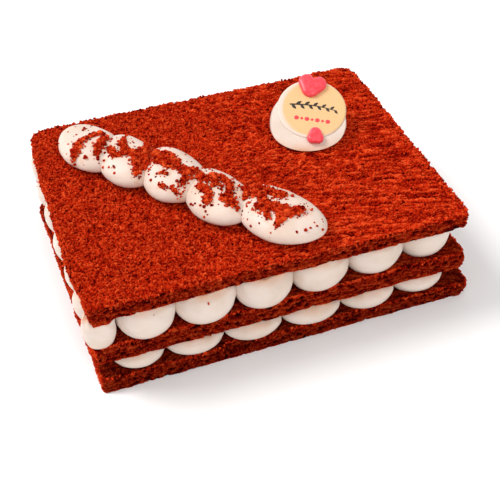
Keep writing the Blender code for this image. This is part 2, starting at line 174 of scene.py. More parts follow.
def makeSpongeMaterial():
    material, tree, shader = newMaterial("redVelvetSpongeBaked")
    where = addNode(tree, "TexCoord")
    height = addNode(tree, "Attribute", {"attribute_name": "crumb"})
    tone = addNode(tree, "Attribute", {"attribute_name": "tone"})
    grain = addNode(tree, "TexNoise", inputs={"Scale": perMetre(sponge["grain"]), "Detail": 3.0},
                    links={"Vector": (where, "Object")})
    cell = addNode(tree, "TexVoronoi", inputs={"Scale": perMetre(sponge["cell"])},
                   links={"Vector": (where, "Object")})
    # the mesh gives the large grain, noise the finest, and each small cell its own depth
    fine = addNode(tree, "MapRange", links={0: (grain, "Fac")},
                   inputs={**noiseSpan, 3: -sponge["grainShare"], 4: sponge["grainShare"]})
    crumbly = addNode(tree, "MapRange", links={0: (cell, "Distance")},
                      inputs={**sponge["cellSpan"], 3: sponge["cellShare"], 4: -sponge["cellShare"]})
    both = addNode(tree, "Math", {"operation": "ADD"}, links={0: (fine, 0), 1: (crumbly, 0)})
    mixed = addNode(tree, "Math", {"operation": "ADD", "use_clamp": True},
                    links={0: (height, "Fac"), 1: (both, 0)})
    # the height sets the colour: painted shade low in the grain, painted highlight on its tips
    ramp = addNode(tree, "ValToRGB", links={"Fac": (mixed, 0)})
    setStops(ramp, sponge["stops"])
    cloud = addNode(tree, "TexNoise", inputs={"Scale": perMetre(sponge["cloud"]), "Detail": 2.0},
                    links={"Vector": (where, "Object")})
    shade = addNode(tree, "MapRange", links={0: (cloud, "Fac")},
                    inputs={**noiseSpan, 3: 1 - sponge["cloudShade"], 4: 1.0})
    # the sheet's tone darkens it: painted shade on cut fronts and covered tops
    deep = addNode(tree, "Math", {"operation": "MULTIPLY"}, links={0: (shade, 0), 1: (tone, "Fac")})
    toned = addNode(tree, "Mix", {"data_type": "RGBA", "blend_type": "MULTIPLY"},
                    inputs={"Factor": 1.0}, links={6: (ramp, "Color"), 7: (deep, 0)})
    bump = addNode(tree, "Bump", links={"Height": (mixed, 0)},
                   inputs={"Strength": sponge["bumpStrength"], "Distance": sponge["bump"] * mm})
    tree.links.new(toned.outputs[2], shader.inputs["Base Color"])
    tree.links.new(bump.outputs[0], shader.inputs["Normal"])
    shader.inputs["Roughness"].default_value = sponge["roughness"]
    shader.inputs["Specular IOR Level"].default_value = sponge["specular"]
    return material


# Whipped cream cheese frosting: fat and air, smoothed by the nozzle. Light goes in a few millimetres
# and comes back warm, over it lies a broad satin shine.
frosting = {
    "stops": ((0.3, "#dac6b6"), (0.55, "#e3d2c6")), "cloud": 16.0,
    "ripple": 2.2, "bump": 0.10, "bumpStrength": 0.35,
    "roughness": 0.45, "satin": 0.06, "specular": 0.25,
    "scatter": 0.12, "scatterDepth": (2.6, 1.7, 1.1),
    # the colour of crumb dust and of painted shade, then painted shade over all of a mound, at its foot, and
    # under a sheet, with how far up or down it goes
    "dustAndShade": "#d08448", "paintedMoundShade": 0.1, "paintedFootShade": 0.38, "footHeight": 5.5, "footFade": 1.3,
    "paintedSeamShade": 0.5, "seamHeight": 5.5, "seamFade": 1.5, "lowSeam": 0.4, "lowSeamHeight": 2.75,
    "footPatch": (6.0, 0.6), "seamPatch": (5.0, 0.8),  # the painted shade lies in patches: span, depth
}


def makeFrostingMaterial():
    material, tree, shader = newMaterial("creamCheeseFrostingPiped")
    where = addNode(tree, "TexCoord")
    cloud = addNode(tree, "TexNoise", inputs={"Scale": perMetre(frosting["cloud"]), "Detail": 3.0},
                    links={"Vector": (where, "Object")})
    ramp = addNode(tree, "ValToRGB", links={"Fac": (cloud, "Fac")})
    setStops(ramp, frosting["stops"])
    ripple = addNode(tree, "TexNoise", links={"Vector": (where, "Object")},
                     inputs={"Scale": perMetre(frosting["ripple"]), "Detail": 4.0, "Roughness": 0.45})
    bump = addNode(tree, "Bump", links={"Height": (ripple, "Fac")},
                   inputs={"Strength": frosting["bumpStrength"], "Distance": frosting["bump"] * mm})
    dull, satin = frosting["roughness"] + frosting["satin"], frosting["roughness"] - frosting["satin"]
    gloss = addNode(tree, "MapRange", inputs={**noiseSpan, 3: satin, 4: dull}, links={0: (ripple, "Fac")})
    # the finest crumb dust stains the cream around the drifts; the same mix lays painted shade under the
    # sheets and at the foot of each mound
    dustAndShade = addNode(tree, "Attribute", {"attribute_name": "dustAndShade"})
    darkened = addNode(tree, "Mix", {"data_type": "RGBA"}, inputs={7: linear(frosting["dustAndShade"])},
                      links={0: (dustAndShade, "Fac"), 6: (ramp, "Color")})
    tree.links.new(darkened.outputs[2], shader.inputs["Base Color"])
    tree.links.new(bump.outputs[0], shader.inputs["Normal"])
    tree.links.new(gloss.outputs[0], shader.inputs["Roughness"])
    shader.inputs["Specular IOR Level"].default_value = frosting["specular"]
    shader.inputs["Subsurface Weight"].default_value = frosting["scatter"]
    shader.inputs["Subsurface Radius"].default_value = frosting["scatterDepth"]
    shader.inputs["Subsurface Scale"].default_value = mm
    return material


# Fondant and icing: sugar paste, dusted with starch. Dense and smooth to the eye, with a soft sheen and a
# faint chalky mottle.
fondants = {
    # rolled flat: even and a little waxy, pale at its rim
    "sugarPasteRolled": {"body": "#e6ba82", "pale": "#e2cfc0", "roughness": 0.5,
                         "mottle": 3.0, "mottleShare": 0.08, "bump": 0.03},
    # pressed in a mould: smoother, with a painted highlight towards its far rim
    "sugarPasteMoulded": {"body": "#f83c47", "pale": "#ff8f9c", "roughness": 0.36,
                          "mottle": 2.0, "mottleShare": 0.2, "bump": 0.02},
    # drawn with a nozzle: small satin threads and dots
    "cocoaIcingDrawn": {"body": "#2b2623", "pale": "#4a423c", "roughness": 0.4,
                        "mottle": 1.0, "mottleShare": 0.4, "bump": 0.02},
    "redIcingDrawn": {"body": "#ee3c45", "pale": "#ff7a80", "roughness": 0.35,
                      "mottle": 1.0, "mottleShare": 0.3, "bump": 0.02},
}
sugarPaste = {"grain": 0.5, "bumpStrength": 0.4, "specular": 0.4, "mottleSpan": {1: 0.35, 2: 0.7}}


def makeFondantMaterial(name):
    look = fondants[name]
    material, tree, shader = newMaterial(name)
    where = addNode(tree, "TexCoord")
    chalk = addNode(tree, "TexNoise", inputs={"Scale": perMetre(look["mottle"]), "Detail": 4.0},
                    links={"Vector": (where, "Object")})
    share = addNode(tree, "MapRange", inputs={**sugarPaste["mottleSpan"], 3: 0.0, 4: look["mottleShare"]},
                    links={0: (chalk, "Fac")})
    rim = addNode(tree, "Attribute", {"attribute_name": "pale"})
    both = addNode(tree, "Math", {"operation": "ADD", "use_clamp": True},
                   links={0: (share, 0), 1: (rim, "Fac")})
    mixed = addNode(tree, "Mix", {"data_type": "RGBA"}, links={0: (both, 0)},
                    inputs={6: linear(look["body"]), 7: linear(look["pale"])})
    grain = addNode(tree, "TexNoise", inputs={"Scale": perMetre(sugarPaste["grain"]), "Detail": 2.0},
                    links={"Vector": (where, "Object")})
    bump = addNode(tree, "Bump", links={"Height": (grain, "Fac")},
                   inputs={"Strength": sugarPaste["bumpStrength"], "Distance": look["bump"] * mm})
    tree.links.new(mixed.outputs[2], shader.inputs["Base Color"])
    tree.links.new(bump.outputs[0], shader.inputs["Normal"])
    shader.inputs["Roughness"].default_value = look["roughness"]
    shader.inputs["Specular IOR Level"].default_value = sugarPaste["specular"]
    return material


spongeMaterial = makeSpongeMaterial()
frostingMaterial = makeFrostingMaterial()
print("materials made")


# Sponge sheets. The outlines and heights repeat the frame's solids, and the grain is modelled on top.
# Bulges and hollows: side, where along it, half length, reach, from and to share of the height, fade.
sheets = {
    "lengths": (204, 150), "topThick": 8.7,
    "cell": 0.64,  # mesh spacing, half the size of a grain
    "band": 26.0, "bandCorner": 3.0,  # on the covered sheets, the grain reaches this far in from the edge
    "ragged": ((0.6, 17.0), (0.4, 6.0)),  # how far the edge wanders, over what length
    # from the underside up: share of the height, share of the worn edge, how craggy
    "side": ((0.0, 0.1, 0.3), (0.2, 0.0, 0.5), (0.5, 0.1, 0.9), (0.8, 0.15, 0.5), (1.0, 1.0, 0.3)),
    "proud": 0.45,  # torn crumb stands out from the cut by this much
    "dip": 0.4, "dipSpan": 11.5,
    "underGrain": 0.3,  # share of the grain at the underside's edge, which stays nearly put
    "facing": {"front": (0.0, -1.0), "right": (1.0, 0.0), "left": (-1.0, 0.0)}, "bulgeRise": 4.0,
    "frontFrom": 0.1875, "frontFull": 0.8125,  # how far a side must face the front to take the painted shade
    # the painted shade on a cut is lifted near its upper and lower edge, a painted highlight, in bands of
    # this share of its height
    "crestBand": 0.125, "footHighlight": 0.3,
    "dry": (50.0, 150.0),  # along X, from the moist left of the top to its dry right
    # each piece sets the painted shade on its cut front and on its top, and a painted highlight at its cut's
    # upper edge
    "pieces": {
        "sponge_bottom": {
            "seed": 1, "radii": (2.5, 3.5, 9.0, 5.0), "worn": 0.4,
            "low": ((1.6, -1.6), (210.6, -1.3), (207.3, 150.5), (-4.0, 150.0)),
            "high": ((2.4, 0.0), (209.6, -0.6), (207.8, 150.5), (-3.4, 150.0)),
            "bulges": (("front", 76.0, 9.0, -3.0, 0.45, 1.0, 0.15), ("right", 3.0, 8.5, 2.2, 0.5, 1.0, 0.5)),
            "paintedFrontShade": 0.4, "paintedTopShade": 0.32, "crestHighlight": 0.4,
        },
        "sponge_middle": {
            "seed": 2, "radii": (2.5, 5.0, 8.0, 5.0), "worn": 1.9,
            "low": ((1.5, 0.1), (209.0, 0.6), (206.8, 151.0), (-2.6, 151.0)),
            "high": ((1.6, 0.0), (208.4, 0.3), (206.3, 151.0), (-2.4, 151.0)),
            "bulges": (),
            "paintedFrontShade": 0.52, "paintedTopShade": 0.42, "crestHighlight": 0.5,
        },
        "sponge_top": {
            "seed": 3, "radii": (2.0, 4.0, 8.0, 9.0), "worn": 0.3,
            "low": ((1.2, -0.6), (205.4, -0.5), (203.6, 150.8), (0.2, 150.8)),
            "high": ((1.6, 0.1), (205.0, -0.4), (203.6, 151.2), (0.3, 151.4)),
            "bulges": (("left", 82.0, 66.0, 2.4, 0.0, 0.1, 0.6), ("front", 80.0, 32.0, -1.0, 0.0, 0.1, 0.6)),
            "hanging": {"x": 6.0, "halfWidth": 8.0, "drop": 2.4, "rise": 2.2, "fade": 0.3},
            "paintedFrontShade": 0.58, "paintedTopShade": 1.0, "crestHighlight": 0.0, "driest": 1.1,
        },
    },
}
grainLook = {
    "large": 1.5, "small": 1.05, "largeShare": 0.6, "smallShare": 0.5,
    "cellMiddle": 0.42,  # where a cell's height is neither up nor down, as a distance from its middle
    "bend": 2.6, "bendReach": 1.0,  # worm-like bends of the grain
    # winding ridges between the grains
    "ridge": 1.25, "ridgeSteep": 3.6, "ridgeHeight": 0.9, "ridgeBend": 0.4,
    # the grain is drawn out along one way, towards the right into short ridges
    "combWay": (0.945, -0.33), "combFrom": 90.0, "combTo": 200.0, "stretch": 1.5,
    "combStretch": 1.15, "combGrowth": 0.08,
    "hollow": 5.0, "hollowFrom": 0.22, "hollowDepth": 0.44,  # broad hollows in the grain
    # on a cut, how long and how high its streaks and its pores are
    "streak": (11.0, 1.0), "streakDepth": 0.6,
    "pore": (4.6, 1.8), "poreDepth": 2.4, "poreShare": 0.42, "poreReach": 0.45,
    "contrast": 0.52,  # how strongly the height shows in the colour, as painted shade and painted highlight
}


def wander(x, y, span, seed):
    # the frame's solids wander in the same way, and a seed only moves the noise elsewhere
    return noise.noise(Vector((x / span, y / span, seed * 7.3)))


def sheetOutline(corners, radii, counts):
    # evenly spaced points, each side from the middle of one rounded corner to the next
    arcSteps = 16
    arcs = []
    for i, corner in enumerate(corners):
        corner = Vector(corner)
        arriving = (corner - Vector(corners[i - 1])).normalized()
        leaving = (Vector(corners[(i + 1) % 4]) - corner).normalized()
        turn = arriving.angle(leaving)
        centre = corner + (leaving - arriving).normalized() * radii[i] / math.cos(turn / 2)
        start = math.atan2(-arriving.x, arriving.y)
        angles = [start + turn * k / arcSteps for k in range(arcSteps + 1)]
        arcs.append([centre + Vector((math.cos(a), math.sin(a))) * radii[i] for a in angles])
    sides = []
    for i, count in enumerate(counts):
        path = np.array([*arcs[i][arcSteps // 2:], *arcs[(i + 1) % 4][:arcSteps // 2 + 1]])
        gone = np.concatenate([[0], np.cumsum(np.linalg.norm(np.diff(path, axis=0), axis=1))])
        goal = np.linspace(0, gone[-1], count + 1)[:-1]
        sides.append(np.column_stack([np.interp(goal, gone, path[:, k]) for k in (0, 1)]))
    points = np.concatenate(sides)
    along = np.roll(points, -1, axis=0) - np.roll(points, 1, axis=0)
    outward = np.column_stack([along[:, 1], -along[:, 0]])
    return points, outward / np.linalg.norm(outward, axis=1)[:, None]


def bulgeReach(plan, points, outward, share):
    # how far the bulges of a sheet push its side out, at a share of its height
    reach = np.zeros(len(points))
    for side, at, half, far, first, last, fade in plan["bulges"]:
        along = points[:, 0] if side == "front" else points[:, 1]
        rise = np.clip(sheets["bulgeRise"] * (1 - np.abs(along - at) / half), 0, 1)
        beyond = max(first - share, share - last, 0.0)
        facing = np.clip(outward @ np.array(sheets["facing"][side]), 0, 1)
        reach += far * rise * max(0.0, 1 - beyond / fade) * facing
    return reach


def sideRings(plan, low, high, under, upper, outward):
    # the sheet's wall from the underside up, with the frame's wander, bulges and hanging bit
    seed = plan["seed"]
    base = np.array([sum(a * wander(*p, span, seed) for a, span in sheets["ragged"]) for p in under])
    shares, worns, crags = zip(*sheets["side"])
    cragSpan = sheets["ragged"][1][1]
    craggy = np.array([[crag * wander(*p, cragSpan, seed + 10 + level) for p in under]
                       for level, crag in enumerate(crags)])
    facesFront = outward[:, 1] < -0.9  # and not a corner
    bit = plan.get("hanging")
    rings = []
    for share in np.linspace(0, 1, round((high - low) / sheets["cell"]) + 1):
        at = np.interp(share, shares, range(len(shares)))
        below = min(int(at), len(shares) - 2)
        crag = craggy[below] + (craggy[below + 1] - craggy[below]) * (at - below)
        shift = base + crag + sheets["proud"] * share - np.interp(share, shares, worns) * plan["worn"]
        shift += bulgeReach(plan, under, outward, share)
        middle = under + (upper - under) * share
        z = np.full(len(under), low + (high - low) * share)
        if bit:
            reach = np.clip(bit["rise"] * (1 - np.abs(middle[:, 0] - bit["x"]) / bit["halfWidth"]), 0, 1)
            z -= bit["drop"] * reach * max(0, 1 - share / bit["fade"]) * facesFront
        rings.append(np.column_stack([middle + outward * shift[:, None], z]))
    return rings


def coveredTop(rim, corners, counts, high):
    # rings from the rim inwards under the cream, closed by one hidden face
    band = sheets["band"]
    inwards = ((band, band), (-band, band), (-band, -band), (band, -band))
    inner = [(x + dx, y + dy) for (x, y), (dx, dy) in zip(corners, inwards)]
    outline = sheetOutline(inner, (sheets["bandCorner"],) * 4, counts)[0]
    goal = np.column_stack([outline, np.full(len(rim), high)])
    steps = round(band / sheets["cell"])
    rings = [rim + (goal - rim) * k / steps for k in range(1, steps + 1)]
    for ring in rings:
        ring[:, 2] = high
    return rings


def openTop(rim, first, columns, rows):
    # a grid stretched inside the rim, with its points numbered from first on
    loop = np.concatenate([rim, rim[:1]])
    front, right = loop[:columns + 1], loop[columns:columns + rows + 1]
    back, left = loop[columns + rows:2 * columns + rows + 1][::-1], loop[2 * columns + rows:][::-1]
    u = np.linspace(0, 1, columns + 1)[None, :, None]
    v = np.linspace(0, 1, rows + 1)[:, None, None]
    grid = (1 - v) * front[None] + v * back[None] + (1 - u) * left[:, None] + u * right[:, None]
    grid -= (1 - v) * ((1 - u) * front[0] + u * front[-1]) + v * ((1 - u) * back[0] + u * back[-1])
    number = np.zeros((rows + 1, columns + 1), int)
    inside = np.arange((rows - 1) * (columns - 1)).reshape(rows - 1, columns - 1)
    number[1:-1, 1:-1] = inside + first + len(rim)
    loopNumber = np.concatenate([np.arange(len(rim)) + first, [first]])
    number[0] = loopNumber[:columns + 1]
    number[:, -1] = loopNumber[columns:columns + rows + 1]
    number[-1] = loopNumber[columns + rows:2 * columns + rows + 1][::-1]
    number[:, 0] = loopNumber[2 * columns + rows:][::-1]
    quads = np.stack([number[:-1, :-1], number[:-1, 1:], number[1:, 1:], number[1:, :-1]], axis=-1)
    return grid[1:-1, 1:-1].reshape(-1, 3), quads.reshape(-1, 4).tolist()


def grainHeight(p, seed):
    # height of the crumb grain at a point, about -1 in a crack and 0.5 on a grain's tip
    look = grainLook
    p = Vector(p)
    wayX, wayY = look["combWay"]
    comb = min(1.0, max(0.0, (p.x - look["combFrom"]) / (look["combTo"] - look["combFrom"])))
    stretch, growth = look["stretch"] + look["combStretch"] * comb, 1 + look["combGrowth"] * comb
    drawn = Vector(((p.x * wayX + p.y * wayY) / stretch, p.y * wayX - p.x * wayY, p.z))
    bend = noise.noise_vector(p / look["bend"]) * look["bendReach"]
    shift = Vector((seed * 31.7, 0, 0))
    size = look["large"] * growth
    large = noise.voronoi((drawn + bend) / size + shift)[0]
    small = noise.voronoi((p + bend) / look["small"] - shift)[0]
    height = look["largeShare"] * (look["cellMiddle"] - large[0]) * size
    height += look["smallShare"] * (look["cellMiddle"] - small[0]) * look["small"]
    winding = abs(noise.noise((drawn + bend * look["ridgeBend"]) / (look["ridge"] * growth) - shift))
    height += look["ridgeHeight"] * (0.5 - min(1.0, winding * look["ridgeSteep"]))
    hollow = max(0.0, -noise.noise(p / look["hollow"] + shift) - look["hollowFrom"])
    return height - look["hollowDepth"] * hollow


def sideHeight(s, z, seed):
    # streaks along the cut and dark oblong pores, given the way round the sheet and the height
    span, tall = grainLook["streak"]
    height = grainLook["streakDepth"] * noise.noise(Vector((s / span, z / tall, seed * 3.1)))
    wide, high = grainLook["pore"]
    distances, middles = noise.voronoi(Vector((s / wide, z / high, seed * 1.7)))
    if noise.cell(middles[0] * 7.0) < grainLook["poreShare"]:
        height -= grainLook["poreDepth"] * max(0.0, 1 - distances[0] / grainLook["poreReach"])
    return height


def sheetTone(plan, points, outward, walls):
    # how much the colour is darkened: painted shade, most on a cut that looks to the front and on the
    # covered tops of the lower sheets, lifted near a cut's edges by a painted highlight, and none on the
    # brushed top, which is a little drier and paler to the right
    dry = np.interp(points[:, 0], sheets["dry"], (1.0, plan.get("driest", 1.0)))
    tone = plan["paintedTopShade"] * dry
    level = np.repeat(np.linspace(0, 1, walls), len(outward))
    facing = (-outward[:, 1] - sheets["frontFrom"]) / (sheets["frontFull"] - sheets["frontFrom"])
    front = np.tile(np.clip(facing, 0, 1), walls)
    crestHighlight = plan["crestHighlight"] * np.clip(1 - (1 - level) / sheets["crestBand"], 0, 1)
    crestHighlight += sheets["footHighlight"] * np.clip(1 - level / sheets["crestBand"], 0, 1)
    tone[:len(level)] = 1 - front * (1 - plan["paintedFrontShade"] - crestHighlight)
    return tone


def spongeSheet(node, low, high):
    plan = sheets["pieces"][node]
    seed = plan["seed"]
    columns, rows = (round(length / sheets["cell"]) for length in sheets["lengths"])
    counts = (columns, rows, columns, rows)
    under, outward = sheetOutline(plan["low"], plan["radii"], counts)
    upper = sheetOutline(plan["high"], plan["radii"], counts)[0]
    rings = sideRings(plan, low, high, under, upper, outward)
    rim, walls, count = rings[-1], len(rings), len(under)
    if node == "sponge_top":
        inner, topFaces = openTop(rim, (walls - 1) * count, columns, rows)
        points, faces = closedLoft(rings)
        faces.pop()
        points = np.concatenate([points, inner])
        faces += topFaces
    else:
        rings += coveredTop(rim, plan["high"], counts, high)
        points, faces = closedLoft(rings)
    piece = newPiece(node.replace("_", "Sheet"), points, faces, spongeMaterial, smooth=False)
    normals = np.empty(len(points) * 3, np.float32)
    piece.data.vertex_normals.foreach_get("vector", normals)
    around = np.concatenate([[0], np.cumsum(np.linalg.norm(np.diff(under, axis=0), axis=1))])
    heights = np.array([grainHeight(p, seed) for p in points])
    heights -= heights.mean()
    for i in range(walls * count):
        heights[i] += sideHeight(around[i % count], points[i][2], seed)
    # the grain's height sets its colour: painted shade in cracks and pores, painted highlight on tips
    setAttribute(piece, "crumb", np.clip(0.5 + heights * grainLook["contrast"], 0, 1))
    # painted shade on the cut front and the covered top, with a painted highlight near a cut's edges
    setAttribute(piece, "tone", sheetTone(plan, points, outward, walls))
    for i in range(walls * count, len(points)):
        heights[i] -= sheets["dip"] * (0.5 + 0.5 * wander(*points[i][:2], sheets["dipSpan"], seed + 30))
    heights[:count] *= sheets["underGrain"]
    moved = points + normals.reshape(-1, 3) * heights[:, None]
    piece.data.vertices.foreach_set("co", toScene(moved).ravel())
    piece.data.update()
    place(piece, [node])
    print(piece.name, len(faces), "faces")
    return rim


lowerCream, upperCream = nodeLevels("cream_lower"), nodeLevels("cream_upper")
topOfCake = upperCream[1] + gap + sheets["topThick"]
sheetRims = []  # with the levels that crumbs stick to
for node, low, high in (
    ("sponge_bottom", 0.0, lowerCream[0] - gap),
    ("sponge_middle", lowerCream[1] + gap, upperCream[0] - gap),
    ("sponge_top", upperCream[1] + gap, topOfCake),
):
    sheetRims.append((spongeSheet(node, low, high), low, high))


# Piped cream: a row of squashed balls along every edge, and solid cream inside them. Each side has the
# joints between its balls and how far out each ball comes, a corner ball its middle and half lengths,
# and the swell is the height at which a ball is fullest and its half height, were it not cut off.
pipedRows = {
    "cream_upper": {
        "seed": 12, "corners": ((6.1, 6.0, 8.4, 6.2), (7.0, 139.0, 10.5, 10.6)), "swell": (42.0, 16.0),
        "front": ((15.5, 45.2, 76.9, 107.9, 139.9, 172.4, 201.8), (-3.0, -3.7, -3.8, -2.4, -0.1, 2.3)),
        "left": ((13.4, 34.0, 57.5, 82.9, 106.5, 128.4), (-2.7, -2.6, -3.7, -3.9, -4.4)),
        "back": ((13.0, 44.0, 74.5, 106.0, 137.0, 168.5, 199.0), (149.6, 150.6, 149.8, 150.4, 149.4, 148.6)),
        "right": ((29.0, 53.0, 76.5, 101.0, 125.5), (200.5, 202.0, 201.2, 202.4)),
    },
    "cream_lower": {
        "seed": 11, "corners": (), "swell": (14.0, 8.2),
        "front": ((10.3, 38.5, 70.2, 102.5, 136.6, 168.6, 199.6), (-0.7, -2.0, -2.9, -3.2, -2.9, -0.8)),
        "left": ((26.5, 50.0, 74.5, 98.5, 123.5), (0.8, 1.8, 0.6, 1.4)),
        "back": ((5.5, 37.0, 69.0, 101.0, 133.5, 166.0, 198.0), (147.6, 149.0, 148.4, 149.2, 148.0, 148.6)),
        "right": ((26.5, 51.0, 75.5, 100.0, 124.0), (200.8, 199.6, 201.4, 200.2)),
    },
}
pipedBall = {
    "reach": {"front": 12.0, "back": 12.0, "left": 15.4, "right": 15.4},
    "overlap": 0.35, "sides": 72, "levels": 26, "core": (20.0, 18.0, 182.0, 132.0), "lean": 0.5,
    # faint folds left by the nozzle: broad ones, which grow from foldLow by foldGrowth towards the top,
    # and a fine swirl
    "fold": 0.6, "foldSpan": 2.4, "foldClimb": 2.0, "foldLow": 0.3, "foldGrowth": 2.0,
    "swirl": 0.64, "swirlSpan": 2.6, "swirlClimb": 10.0,
    "step": 0.004,  # neighbours stand this much higher, so that the Boolean meets no shared plane
    "sharpFrom": 40,
}


def pipedBalls(plan):
    balls = list(plan["corners"])
    for side in ("front", "left", "back", "right"):
        joints, edges = plan[side]
        reach = pipedBall["reach"][side]
        inward = 1 if side in ("front", "left") else -1
        for start, end, edge in zip(joints, joints[1:], edges):
            along, half = (start + end) / 2, (end - start) / 2 + pipedBall["overlap"]
            across = edge + inward * reach
            balls.append((along, across, half, reach) if side in ("front", "back")
                         else (across, along, reach, half))
    return balls


def patchy(points, span, depth):
    # uneven values around 1
    return np.array([1 + depth * noise.noise(Vector(p) / span) for p in points])


def paintedSeamShade(points, low, high):
    # painted shade in the cream, most under the sheet above and a little next to the sheet below
    above = np.clip(1 - (high - points[:, 2]) / frosting["seamHeight"], 0, 1) ** frosting["seamFade"]
    below = np.clip(1 - (points[:, 2] - low) / frosting["lowSeamHeight"], 0, 1)
    darkening = (above + frosting["lowSeam"] * below) * patchy(points, *frosting["seamPatch"])
    return np.clip(darkening * frosting["paintedSeamShade"], 0, 1)


def paintedFootShade(points, base, share=1.0):
    # painted shade and a painted warm bounce from the sponge at the foot of a mound
    low = np.clip(1 - (points[:, 2] - base) / frosting["footHeight"], 0, 1) ** frosting["footFade"]
    return low * patchy(points, *frosting["footPatch"]) * frosting["paintedFootShade"] * share


def noiseAround(angle, span, along):
    # noise that meets itself after a turn round a ball
    return noise.noise(Vector((math.cos(angle) * span, math.sin(angle) * span, along)))


def pipedBallRings(number, ball, low, high, swell, draw):
    # a squashed ball that leans a little, cut off flat below and above
    x, y, halfX, halfY = ball
    fullest, halfHeight = swell
    leanX = draw.uniform(-pipedBall["lean"], pipedBall["lean"])
    leanY = draw.uniform(-pipedBall["lean"], pipedBall["lean"])
    twist = draw.uniform(0.0, math.tau)
    rings = []
    for k in range(pipedBall["levels"] + 1):
        share = k / pipedBall["levels"]
        z = low + (high - low) * share
        width = math.sqrt(1 - ((z - fullest) / halfHeight) ** 2)
        foldShare = pipedBall["foldLow"] + pipedBall["foldGrowth"] * share * share
        foldAt = number * 5.1 + share * pipedBall["foldClimb"]
        swirlAt = number * 3.7 + share * pipedBall["swirlClimb"]
        ring = []
        for i in range(pipedBall["sides"]):
            angle = math.tau * i / pipedBall["sides"]
            turned = angle + twist + share
            fold = noiseAround(turned, pipedBall["foldSpan"], foldAt)
            swirl = noiseAround(turned, pipedBall["swirlSpan"], swirlAt)
            uneven = fold * pipedBall["fold"] * foldShare + swirl * pipedBall["swirl"] * share
            reach = width + uneven / halfX
            ring.append((x + leanX * (share - 0.5) + halfX * reach * math.cos(angle),
                         y + leanY * (share - 0.5) + halfY * reach * math.sin(angle),
                         z + number % 5 * pipedBall["step"]))
        rings.append(np.array(ring))
    return rings


def skinPoints(piece):
    return np.array([v.co for v in piece.data.vertices]) / mm + cakeMiddle


def shadeSoft(piece, sharpFrom):
    # smooth, with an edge only where the faces meet at more than this many degrees
    piece.data.shade_smooth()
    piece.data.set_sharp_from_angle(angle=math.radians(sharpFrom))


def pipedLayer(node):
    plan = pipedRows[node]
    low, high = nodeLevels(node)
    low, high = low - gap, high + gap
    draw = random.Random(plan["seed"])
    xLow, yLow, xHigh, yHigh = pipedBall["core"]
    square = ((xLow, yLow), (xHigh, yLow), (xHigh, yHigh), (xLow, yHigh))
    core = [np.array([(x, y, z) for x, y in square]) for z in (low, high)]
    layer = newPiece(node.replace("cream_", "pipedCream"), *closedLoft(core), frostingMaterial)
    tools = []
    for number, ball in enumerate(pipedBalls(plan)):
        rings = pipedBallRings(number, ball, low, high, plan["swell"], draw)
        tools.append(newPiece("ball", *closedLoft(rings), frostingMaterial))
    combine(layer, tools, "UNION")
    shadeSoft(layer, pipedBall["sharpFrom"])
    # painted shade under the sheet above and next to the sheet below
    setAttribute(layer, "dustAndShade", paintedSeamShade(skinPoints(layer), low, high))
    place(layer, [node])
    print(layer.name, len(layer.data.polygons), "faces")


pipedLayer("cream_lower")
pipedLayer("cream_upper")


# Spooned cream mounds in a row, each laid against the last.
mounds = {
    "sides": 96, "levels": 44, "lowest": -53.0, "highest": 89.0, "sharpFrom": 50,
    # the height of the widest place, how steeply it tucks in below that, and the power of the upper dome
    "tuck": 0.38, "below": 1.25, "full": 0.82,
    "swell": 0.55, "swellSpan": 11.0, "ripple": 0.12, "rippleSpan": 3.2, "swellUp": 0.8,
    "grow": 0.02,  # a cutter stands this far clear of what it makes room for
    "list": (
        {"x": 29.1, "y": 115.3, "long": 21.9, "wide": 15.6, "high": 14.2,
         "heading": -65, "lobe": 0.017, "lobeAt": 48},
        {"x": 46.3, "y": 96.7, "long": 22.6, "wide": 15.9, "high": 14.0,
         "heading": -80, "lobe": 0.031, "lobeAt": 51},
        {"x": 65.7, "y": 76.2, "long": 22.6, "wide": 16.8, "high": 14.6,
         "heading": -82, "lobe": 0.055, "lobeAt": 53},
        {"x": 82.8, "y": 51.8, "long": 22.9, "wide": 16.1, "high": 13.4,
         "heading": -78, "lobe": 0.032, "lobeAt": 48},
        {"x": 108.1, "y": 26.5, "long": 25.6, "wide": 17.2, "high": 14.7,
         "heading": -58, "lobe": 0.063, "lobeAt": 33},
    ),
    "plaque": {"x": 152.4, "y": 96.5, "long": 27.0, "wide": 22.0, "high": 19.0,
               "heading": 65, "lobe": 0.0, "lobeAt": 0, "tuck": 0.29, "full": 0.68},
}
moundBase = topOfCake + gap


def moundPoint(mound, across, latitude, grow=0.0):
    # a point on a mound's skin, given the way round it and the height angle, in degrees
    long, wide = mound["long"] + grow, mound["wide"] + grow
    tuck = mound["high"] * mound.get("tuck", mounds["tuck"])
    above = mound["high"] - tuck + grow
    below = tuck * mounds["below"]
    angle, tip = math.radians(across), math.radians(latitude)
    corner = 1 + mound["lobe"] * math.cos(3 * (angle - math.radians(mound["lobeAt"])))
    width = corner * math.cos(tip) ** (mound.get("full", mounds["full"]) if latitude > 0 else 1.0)
    u, v = long * width * math.cos(angle), wide * width * math.sin(angle)
    heading = math.radians(mound["heading"])
    return Vector((
        mound["x"] + u * math.cos(heading) - v * math.sin(heading),
        mound["y"] + u * math.sin(heading) + v * math.cos(heading),
        moundBase + tuck + math.sin(tip) * (above if latitude > 0 else below),
    ))


def moundSwell(p):
    broad = noise.noise(p / mounds["swellSpan"]) * mounds["swell"]
    return broad + noise.noise(p / mounds["rippleSpan"]) * mounds["ripple"]


def moundMesh(name, mound, grow=0.0, uneven=1.0):
    rings = []
    middle = Vector((mound["x"], mound["y"], moundBase))
    for k in range(mounds["levels"] + 1):
        latitude = mounds["lowest"] + (mounds["highest"] - mounds["lowest"]) * k / mounds["levels"]
        ring = []
        for i in range(mounds["sides"]):
            p = moundPoint(mound, 360 * i / mounds["sides"], latitude, grow)
            out = (p - middle).normalized()
            ring.append(p + out * moundSwell(p) * uneven)
        rings.append(np.array(ring))
    rings[0][:, 2] = moundBase - gap - grow
    return newPiece(name, *closedLoft(rings), frostingMaterial)


